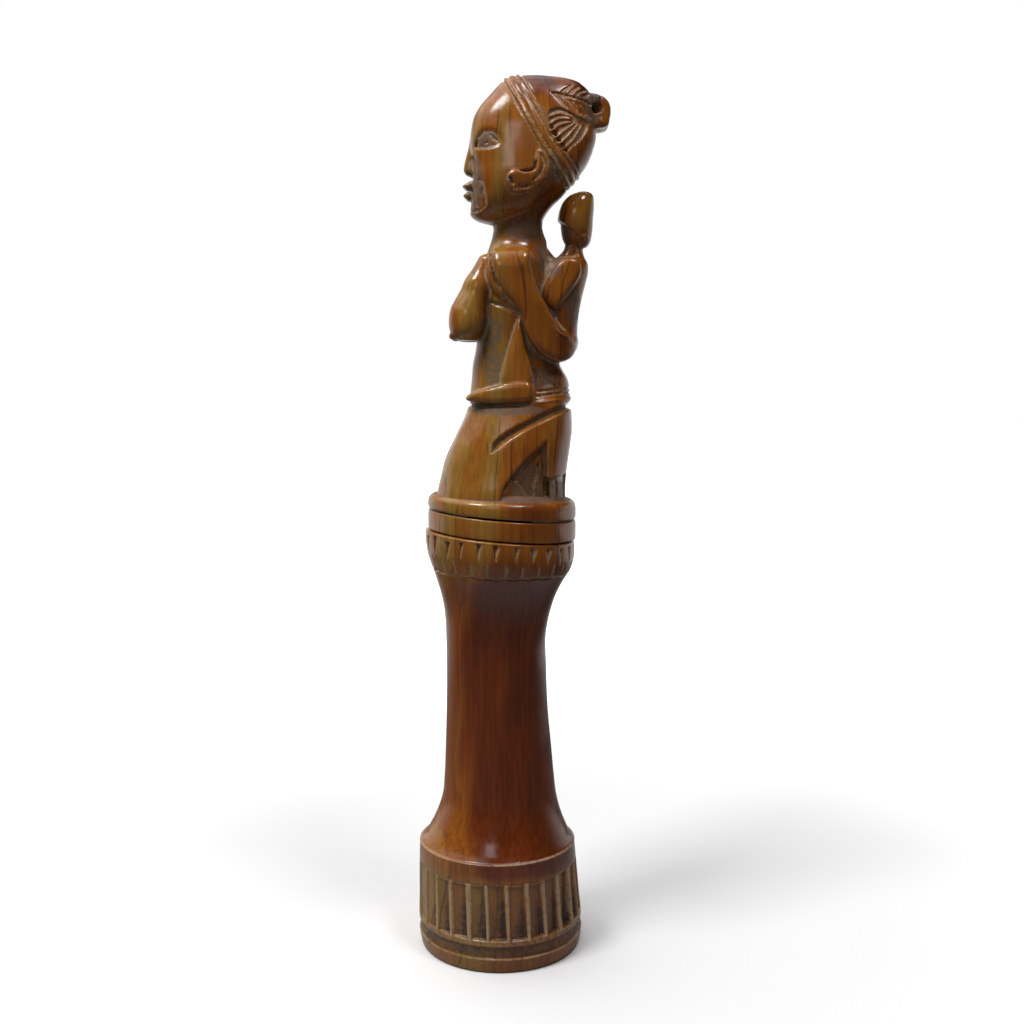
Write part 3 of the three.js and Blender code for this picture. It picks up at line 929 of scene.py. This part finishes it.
def container_piece(material):
    form = np.array(CONTAINER_FORM)
    front, back = through(form[:, 0], form[:, 1]), through(form[:, 0], form[:, 2])
    top = RING_BOTTOM - SEAM
    edge = 0.4
    base = ((0.0, 1.0, 0.2), (1.0, 7.0, 0.3))
    flutes = ((7.0, 9.4, 0.2), (9.4, 22.6, 0.45), (22.6, 24.2, 0.2), (24.2, 28.0, 0.4), (28.0, 29.4, 0.1))
    column = ((29.4, 34.0, 0.5), (34.0, 101.0, 1.5), (101.0, top, 0.2))
    rise = levels(*base, *flutes, *column)
    sections = []
    for height in rise:
        f, b = front(height), back(height)
        foot = FOOT_EDGE * (1 - np.sqrt(max(1 - (1 - min(height / FOOT_EDGE, 1)) ** 2, 0)))
        rim = edge * (1 - np.sqrt(max(1 - max((height - top + edge) / edge, 0) ** 2, 0)))
        slope = PARTING_SLOPE * smoothstep(94, RING_BOTTOM, height)
        sections.append(((f + b) / 2 - foot - rim, (b - f) / 2, height, slope))
    sections.append((sections[-1][0] - 0.6, sections[-1][1], top, PARTING_SLOPE))
    sections.append((BORE_RADIUS + 0.4, 0, top, PARTING_SLOPE))
    sections.append((BORE_RADIUS, 0, top - 0.4, PARTING_SLOPE))
    # Down the bore, round the plug, and out at the foot.
    for height in (94, 60, 30, plug_high[2], 0.4):
        sections.append((BORE_RADIUS, 0, height, 0))
    sections.append((BORE_RADIUS + 0.4, 0, 0, 0))
    outer = len(rise)

    def carve(angle, height, radius):
        layers = carve_container(angle, height, radius)
        for layer in layers:
            layer[outer:] = 0
        return layers

    return turned("container", sections, material, carve)


def plug_piece(material):
    radius, bottom, top = plug_high[0], 0.15, plug_high[2]
    side = rounded(bottom, top, radius, 0, (0, 0), (0.4, 0.4))
    sections = [(0.5, 0, bottom, 0), *side, (0.5, 0, top, 0)]
    return turned("turned_plug", sections, material, carve_slightly, ring=False)


def carve_slightly(angle, height, radius):
    """No pattern, but the rim is slightly uneven."""
    place = (radius * np.cos(angle) / 3, radius * np.sin(angle) / 3, height / 3)
    none = np.zeros(np.broadcast(angle, height).shape)
    return 0.07 * wobble(*place, seed=21) * smoothstep(15, 18, radius), none, none


def ring_piece(material):
    slopes = (PARTING_SLOPE, PARTING_SLOPE)
    low, high = RING_BOTTOM + SEAM, RING_TOP - 0.1
    sections = [*rounded(low, high, DISC_RADIUS, DISC_SHIFT, slopes, (0.45, 0.45))]
    sections += [(BORE_RADIUS + 0.4, 0, high, PARTING_SLOPE), (BORE_RADIUS, 0, high - 0.4, PARTING_SLOPE)]
    sections += [(BORE_RADIUS, 0, low + 0.4, PARTING_SLOPE), (BORE_RADIUS + 0.4, 0, low, PARTING_SLOPE)]
    return turned("turned_ring", sections, material, carve_slightly)


def disc_piece(material):
    """The disc that the figure kneels on, with the tenon below it."""
    tenon = BORE_RADIUS - BORE_CLEARANCE
    low = RING_TOP + 0.35
    top, top_slope = 122.2, 0.045
    sections = [(0.5, 0, TENON_END, 0), (tenon - 1, 0, TENON_END, 0), (tenon, 0, TENON_END + 1, 0)]
    sections += [(tenon, 0, low - 2, 0), (tenon, 0, low, PARTING_SLOPE)]
    sections += [*rounded(low, top, DISC_RADIUS, DISC_SHIFT, (PARTING_SLOPE, top_slope), (0.4, 1.9))]
    # The top rises inside the rim to a low step that the figure stands on.
    step = ((17.1, 122.4), (16.5, 122.9), (15.6, 123.5), (14.6, 124.0), (13.0, 124.3), (0.5, 124.3))
    sections += [(radius, DISC_SHIFT, height, top_slope) for radius, height in step]
    radii, _, heights, _ = np.array(sections).T
    dusty = 0.9 * smoothstep(DISC_RADIUS - 0.8, DISC_RADIUS - 2.0, radii) * (heights > top - 1.2)
    return turned("stopper_disc", sections, material, carve_slightly, dust=dusty[:, None], ring=False)


# Where dust has settled on the figure: a middle and a reach, each towards the back and up.
DUSTY = (
    ((-6.4, 202.0), (2.6, 8.0)),  # mouth and chin
    ((-3.4, 212.6), (3.6, 2.8)),  # eye
    ((2.4, 202.4), (1.2, 1.6)),  # ear lobe
    ((13.6, 206.0), (2.0, 4.0)),  # behind the ear
    ((23.4, 220.8), (2.2, 5.0)),  # knob
    ((7.0, 190.8), (7.0, 3.4)),  # neck
    ((12.6, 184.0), (4.0, 6.5)),  # back of the shoulder
    ((15.6, 189.0), (3.2, 4.2)),  # child's face
    ((18.8, 171.6), (2.4, 6.0)),  # child's back
    ((-2.4, 165.0), (3.6, 5.0)),  # under the breast
    ((-1.8, 155.8), (2.6, 6.4)),  # beside the child's leg
    ((11.6, 153.0), (3.8, 3.6)),  # small of the back
    ((2.0, 145.0), (11.0, 1.5)),  # under the child's foot
    ((7.4, 126.0), (5.0, 7.0)),  # hollow behind the knee
    ((14.6, 124.0), (3.6, 3.4)),  # foot
    ((0.0, 121.4), (22.0, 1.6)),  # along the disc
)


def settled(points):
    """How much dust lies at each point, by its place in the side view."""
    lying = np.zeros(len(points))
    for middle, reach in DUSTY:
        away = np.hypot(*((points[:, 1:] - middle) / reach).T)
        lying = np.maximum(lying, smoothstep(1.15, 0.6, away))
    return lying


def figure_piece(material):
    """The carved block's skin. Fine hollows are fresh cuts, light or dark by their depth: the dark in the
    deepest is painted shade with some dark patina. Broad ones hold dust."""
    points, faces, (fine, broad) = skin_of(carve_figure())
    cut = smoothstep(0.03, 0.12, fine) * smoothstep(1.2, 0.7, broad)
    dust = np.maximum(smoothstep(0.15, 0.5, broad), 0.75 * settled(points))
    # The deepest fine cuts get painted shade, with some dark patina.
    dark = smoothstep(0.4, 0.6, fine)
    worn = smoothstep(0.06, 0.2, -fine)
    return make_mesh("mother_and_child", points, faces, material, cut=cut, dust=dust, dark=dark, worn=worn)


# ---------- wood ----------
OCHRE = (0.31, 0.152, 0.026)
HONEY = (0.31, 0.098, 0.011)
RUSSET = (0.155, 0.030, 0.006)
HEART = (0.060, 0.013, 0.004)
CRACK = (0.018, 0.008, 0.004)
DUST = (0.108, 0.080, 0.056)  # lies in the broad hollows
BARE_WOOD_AND_HIGHLIGHT = (0.40, 0.27, 0.15)  # bare wood, in the fresh cuts and on the worn edges, and painted highlights on the collar's wedges and line
SHADE_AND_PATINA = (0.020, 0.013, 0.011)  # painted shade with some dark patina, at the bottom of the deep cuts and the flutes
LOG_HEART = (-8, 60, 0)  # where the middle of the log passes the ground


# Zones along the height, each from where it starts to where it is full.
WAIST_FOOT, WAIST_TOP = (22, 27), (113, 97)
BASE_ZONE = (32, 24)
CROWN_ZONE = (219, 228)


class Nodes:
    """Makes and links the nodes of one tree."""

    def __init__(self, tree):
        self.tree = tree

    def put(self, value, socket):
        """Links what comes from a node, and sets a number, a vector or a colour on the socket itself."""
        if isinstance(value, bpy.types.NodeSocket):
            self.tree.links.new(value, socket)
        elif socket.type == "RGBA":
            socket.default_value = (*value, 1)
        else:
            socket.default_value = value

    def add(self, kind, inputs=None, **settings):
        node = self.tree.nodes.new(kind)
        for key, value in settings.items():
            setattr(node, key, value)
        for key, value in (inputs or {}).items():
            self.put(value, node.inputs[key])
        return node

    def math(self, operation, first, second):
        return self.add("ShaderNodeMath", {0: first, 1: second}, operation=operation).outputs[0]

    def plus(self, first, second):
        return self.math("ADD", first, second)

    def minus(self, first, second):
        return self.math("SUBTRACT", first, second)

    def times(self, first, second):
        return self.math("MULTIPLY", first, second)

    def part(self, vector, axis):
        return self.add("ShaderNodeSeparateXYZ", {0: vector}).outputs[axis]

    def grey(self, value):
        return self.add("ShaderNodeCombineXYZ", {0: value, 1: value, 2: value}).outputs[0]

    def stretch(self, vector, scale):
        inputs = {0: vector, 1: scale}
        return self.add("ShaderNodeVectorMath", inputs, operation="MULTIPLY").outputs[0]

    def noise(self, place, scale, detail=2.0, distortion=0.0):
        """Scale is one number, or one for each axis."""
        if isinstance(scale, tuple):
            place, scale = self.stretch(place, scale), 1.0
        inputs = {"Vector": place, "Scale": scale, "Detail": detail, "Distortion": distortion}
        return self.add("ShaderNodeTexNoise", inputs).outputs["Fac"]

    def step(self, value, low, high, to_low=0.0, to_high=1.0):
        inputs = {"Value": value, "From Min": low, "From Max": high, "To Min": to_low, "To Max": to_high}
        kind = "ShaderNodeMapRange"
        return self.add(kind, inputs, interpolation_type="SMOOTHSTEP").outputs["Result"]

    def ramp(self, value, stops):
        node = self.add("ShaderNodeValToRGB", {"Fac": value})
        elements = node.color_ramp.elements
        while len(elements) < len(stops):
            elements.new(0.5)
        for element, (position, colour) in zip(elements, stops):
            element.position = position
            element.color = (*colour, 1)
        return node.outputs["Color"]

    def mix(self, share, first, second, blend_type="MIX"):
        node = self.add("ShaderNodeMix", data_type="RGBA", blend_type=blend_type)
        for index, value in zip((0, 6, 7), (share, first, second)):
            self.put(value, node.inputs[index])
        return node.outputs[2]


def log_rings(nodes, place):
    """How far out from the heart of the log a point is, the shade of its band of rings between 0 and 1, and
    how near the next gap between bands is. The log leans, and its grain bends slowly."""
    level = nodes.stretch(place, (1, 1, 0))
    heart = nodes.add("ShaderNodeVectorMath", {0: level, 1: LOG_HEART}, operation="DISTANCE").outputs["Value"]
    bend = nodes.noise(place, (0.07, 0.07, 0.016))
    out = nodes.plus(heart, nodes.step(bend, 0.2, 0.8, -3, 3))
    out = nodes.plus(out, nodes.times(nodes.part(place, "Z"), 0.07))
    rings = {"W": nodes.minus(out, 9), "Scale": 0.26, "Randomness": 0.9}
    soft = {**rings, "Smoothness": 0.5}
    kind = "ShaderNodeTexVoronoi"
    band = nodes.add(kind, soft, feature="SMOOTH_F1", voronoi_dimensions="1D").outputs["Color"]
    band = nodes.add("ShaderNodeSeparateColor", {0: band}).outputs["Red"]
    gap = nodes.add(kind, rings, feature="DISTANCE_TO_EDGE", voronoi_dimensions="1D").outputs["Distance"]
    return out, band, gap


def wood_tone(nodes, place, waist, out, band):
    """The wood's colour as one number, from the heart's at 0 to ochre above 0.84."""
    y, z = nodes.part(place, "Y"), nodes.part(place, "Z")

    # Light sapwood at the front, in thin bands.
    outer = nodes.minus(out, nodes.times(waist, 4))
    patch = nodes.step(nodes.noise(place, (0.07, 0.07, 0.02)), 0.38, 0.56, 0.65, 1.0)
    pale = nodes.times(nodes.step(band, 0.2, 0.6, 0.6, 1.0), patch)
    sapwood = nodes.times(nodes.step(outer, 70, 76, 0, 0.46), pale)

    cloud = nodes.noise(place, (0.11, 0.11, 0.035), 2.0, 0.3)
    tone = nodes.plus(nodes.step(band, 0, 1, -0.05, 0.05), nodes.step(cloud, 0.3, 0.7, 0.36, 0.58))
    stain = nodes.noise(place, (0.12, 0.12, 0.07))
    tone = nodes.minus(tone, nodes.step(stain, 0.5, 0.7, 0, 0.12))

    # The crown and the waist are dark, and the child's head is light.
    tone = nodes.minus(tone, nodes.step(z, *CROWN_ZONE, 0, 0.36))
    child = nodes.times(nodes.step(y, 12, 18), nodes.step(z, 182, 194))
    tone = nodes.plus(tone, nodes.times(child, nodes.step(z, 206, 203, 0, 0.28)))
    tone = nodes.times(tone, nodes.step(waist, 0, 1, 1.0, 0.33))
    return nodes.plus(tone, sapwood)


def cracks_along(nodes, place, waist, gap):
    """Cracks in some of the gaps, but few in the waist, and few in front where the rings lie flat."""
    here = nodes.step(nodes.noise(place, (0.15, 0.15, 0.02), 1.0), 0.46, 0.56)
    here = nodes.times(here, nodes.step(waist, 0, 1, 1, 0.25))
    level = nodes.stretch(place, (1, 1, 0))
    towards = nodes.add("ShaderNodeVectorMath", {0: level}, operation="NORMALIZE").outputs[0]
    here = nodes.times(here, nodes.step(nodes.part(towards, "Y"), -0.98, -0.8, 0.1, 1))
    return nodes.times(nodes.step(gap, 0.06, 0.02), here)


def wood(name):
    """Polished wood with upright grain, with dust in its hollows, and with painted light and shade in its
    cuts.
    """
    material = bpy.data.materials.new(name)
    material.use_nodes = True
    nodes = Nodes(material.node_tree)
    shader = material.node_tree.nodes["Principled BSDF"]
    place = nodes.add("ShaderNodeTexCoord").outputs["Object"]
    place = nodes.stretch(place, (1 / MM, 1 / MM, 1 / MM))
    z = nodes.part(place, "Z")
    waist = nodes.times(nodes.step(z, *WAIST_FOOT), nodes.step(z, *WAIST_TOP))
    out, band, gap = log_rings(nodes, place)
    tone = wood_tone(nodes, place, waist, out, band)
    colour = nodes.ramp(tone, ((0.0, HEART), (0.18, RUSSET), (0.52, HONEY), (0.84, OCHRE)))
    streak = nodes.noise(place, (1.1, 1.1, 0.03), 3.0)
    shade = nodes.times(nodes.step(streak, 0.3, 0.7, 0.8, 1.12), nodes.step(z, *BASE_ZONE, 1, 0.78))
    colour = nodes.mix(1.0, colour, nodes.grey(shade), "MULTIPLY")
    crack = cracks_along(nodes, place, waist, gap)
    colour = nodes.mix(nodes.times(crack, 0.6), colour, CRACK)

    # Where the cuts, the dust, the wear and the painted light and shade are comes with the mesh, and noise
    # breaks up their edges.
    grain = nodes.noise(place, 0.8, 4.0)

    def covered(layer, rough, low, high):
        mask = nodes.add("ShaderNodeAttribute", attribute_name=layer).outputs["Fac"]
        broken = nodes.step(grain, 0.3, 0.7, 1 - rough, 1 + rough)
        return nodes.step(nodes.times(mask, broken), low, high)

    dust, dark = covered("dust", 0.5, 0.0, 0.9), covered("dark", 0.3, 0.1, 0.9)
    cut, worn = covered("cut", 0.35, 0.1, 0.8), covered("worn", 0.5, 0.1, 1.0)
    colour = nodes.mix(nodes.times(dust, 0.75), colour, DUST)
    colour = nodes.mix(nodes.times(worn, 0.5), colour, BARE_WOOD_AND_HIGHLIGHT)
    # The cut layer also brings painted highlights from the collar.
    colour = nodes.mix(nodes.times(cut, 0.75), colour, BARE_WOOD_AND_HIGHLIGHT)
    # Painted shade, with some dark patina, in the deep cuts, the flutes and the sunken band.
    colour = nodes.mix(nodes.times(dark, 0.85), colour, SHADE_AND_PATINA)
    polish = nodes.noise(place, 0.25, 3.0)
    matt = nodes.math("MAXIMUM", nodes.math("MAXIMUM", cut, dust), dark)
    rough = nodes.plus(nodes.step(polish, 0.3, 0.7, 0.13, 0.27), nodes.times(matt, 0.35))
    nodes.put(colour, shader.inputs["Base Color"])
    nodes.put(rough, shader.inputs["Roughness"])
    nodes.put(1.5, shader.inputs["IOR"])

    # Fine scratches, and the open cracks.
    scratch = nodes.noise(place, (5, 5, 0.3), 3.0)
    bumps = nodes.plus(nodes.times(scratch, 0.5), nodes.times(grain, 0.6))
    bumps = nodes.minus(bumps, nodes.times(crack, 0.8))
    bump = nodes.add("ShaderNodeBump", {"Height": bumps, "Strength": 0.2, "Distance": 0.06 * MM})
    nodes.put(bump.outputs["Normal"], shader.inputs["Normal"])
    return material


def place_piece(piece, body, node):
    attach(piece, body)
    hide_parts(node)


figure_wood = wood("figure_wood")
ring_wood = wood("ring_wood")
container_wood = wood("container_wood")
plug_wood = wood("plug_wood")
place_piece(figure_piece(figure_wood), "stopper", "figure_stopper")
place_piece(disc_piece(figure_wood), "stopper", "figure_stopper")
place_piece(ring_piece(ring_wood), "ring", "collar_ring")
place_piece(container_piece(container_wood), "container", "container_body")
place_piece(plug_piece(plug_wood), "container", "base_plug")

# ---------- camera, floor and light ----------
CAMERA_PLACE = (323.7, 3.03, 153.1)
CAMERA_PITCH = 6.225  # degrees down
LENS = 43.07
FLOOR_HALF = 3.0  # this and the lights are in metres

camera_data = bpy.data.cameras.new("camera")
camera_data.lens = LENS
camera_data.sensor_width = 36
camera_data.clip_start = 0.01
camera = bpy.data.objects.new("camera", camera_data)
camera.location = Vector(CAMERA_PLACE) * MM
camera.rotation_euler = (np.radians(90 - CAMERA_PITCH), 0, np.radians(90))
bpy.context.scene.collection.objects.link(camera)
bpy.context.scene.camera = camera
bpy.context.scene.view_settings.view_transform = "Standard"


def seen_by_camera(nodes, seen, otherwise):
    """One value where the camera looks straight at a thing, and another in its light and reflections."""
    path = nodes.add("ShaderNodeLightPath").outputs["Is Camera Ray"]
    return nodes.plus(nodes.times(nodes.minus(seen, otherwise), path), otherwise)


def floor_piece():
    """Pale paper that fades to white. It is dark in the wood's reflections, but for the part behind."""
    corners = [(a * FLOOR_HALF, b * FLOOR_HALF, 0) for a, b in ((-1, -1), (1, -1), (1, 1), (-1, 1))]
    mesh = bpy.data.meshes.new("floor")
    mesh.from_pydata(corners, [], [(0, 1, 2, 3)])
    white = bpy.data.materials.new("floor_white")
    white.use_nodes = True
    nodes = Nodes(white.node_tree)
    shader = white.node_tree.nodes["Principled BSDF"]
    place = nodes.add("ShaderNodeTexCoord").outputs["Object"]
    away = nodes.add("ShaderNodeVectorMath", {0: place}, operation="LENGTH").outputs["Value"]
    paper = nodes.grey(seen_by_camera(nodes, 0.84, nodes.step(away, 0.05, 0.2, 0.4, 0.06)))
    x = nodes.part(place, "X")
    behind = nodes.times(nodes.step(away, 0.2, 0.5), nodes.step(x, -0.05, -0.3, 0, 0.75))
    glow = seen_by_camera(nodes, nodes.step(away, 0.08, 0.5), behind)
    nodes.put(paper, shader.inputs["Base Color"])
    nodes.put(glow, shader.inputs["Emission Strength"])
    nodes.put((1, 1, 1), shader.inputs["Emission Color"])
    nodes.put(0.8, shader.inputs["Roughness"])
    mesh.materials.append(white)
    floor = bpy.data.objects.new("floor", mesh)
    bpy.context.scene.collection.objects.link(floor)


def studio():
    """A white surround. Its light comes from above, the left and behind, and little from the front."""
    world = bpy.data.worlds.new("studio")
    bpy.context.scene.world = world
    world.use_nodes = True
    nodes = Nodes(world.node_tree)
    direction = nodes.add("ShaderNodeTexCoord").outputs["Generated"]
    low = nodes.step(nodes.part(direction, "Z"), 0.45, 0.15)
    backdrop = nodes.times(nodes.step(nodes.part(direction, "X"), -0.05, -0.6, 0.05, 0.85), low)
    above = nodes.add("ShaderNodeVectorMath", {0: direction, 1: (-0.2, -0.35, 0.91)}, operation="DOT_PRODUCT")
    light = nodes.plus(backdrop, nodes.step(above.outputs["Value"], 0.6, 0.95, 0.0, 1.6))
    shader = world.node_tree.nodes["Background"]
    nodes.put(seen_by_camera(nodes, 1.0, light), shader.inputs["Strength"])
    nodes.put((1, 1, 1), shader.inputs["Color"])


def softbox(name, towards, distance, size, power):
    """An area light in a direction from the middle of the figure, facing it."""
    data = bpy.data.lights.new(name, "AREA")
    data.shape = "RECTANGLE"
    data.size, data.size_y = size
    data.energy = power
    light = bpy.data.objects.new(name, data)
    direction = Vector(towards).normalized()
    light.location = Vector((0, 0, 0.14)) + direction * distance
    light.rotation_euler = direction.to_track_quat("Z", "Y").to_euler()
    bpy.context.scene.collection.objects.link(light)


floor_piece()
studio()
softbox("key", (0.32, -0.42, 0.85), 0.8, (0.24, 0.20), 3.9)
softbox("second", (0.34, 0.34, 0.88), 0.8, (0.20, 0.16), 2.0)
softbox("front", (0.86, -0.20, 0.47), 0.9, (0.24, 0.22), 0.5)
